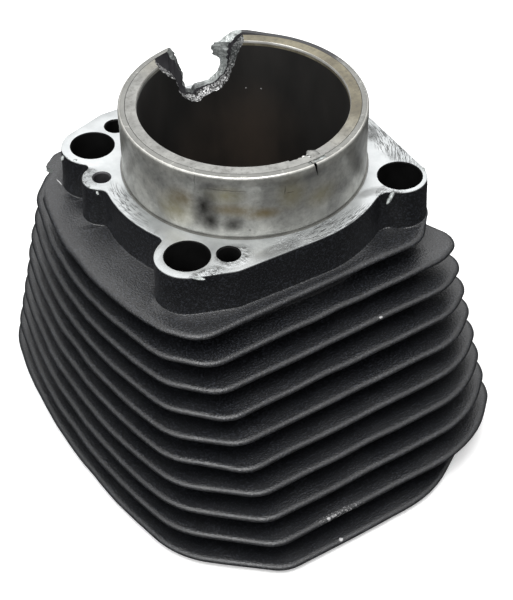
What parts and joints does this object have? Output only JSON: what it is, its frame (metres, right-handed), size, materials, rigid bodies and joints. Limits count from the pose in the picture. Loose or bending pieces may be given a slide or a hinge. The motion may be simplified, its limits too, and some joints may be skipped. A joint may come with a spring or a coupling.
{
  "type": "finned engine cylinder barrel",
  "caption": "Air-cooled engine cylinder barrel with cooling fins, iron liner, base flange and a crankcase spigot that has a piece broken out.",
  "frame": {"origin": "on the bore axis at the head-gasket face", "axes": "+Z along the bore axis towards the crankcase spigot; X and Y along the sides of the stud-hole rectangle, with the bowed fin edge on -X and the cut-back fin edge on +X"},
  "size_m": [0.1803, 0.2288, 0.159],
  "materials": {
    "coated_casting": "satin black textured coating on the fins and walls, bare machined metal on the spigot and gasket faces",
    "liner_iron": "turned and honed grey iron, oil-stained"
  },
  "bodies": {
    "root": {"barrel_casting": "coated_casting", "cylinder_liner": "liner_iron"}
  },
  "joints": []
}
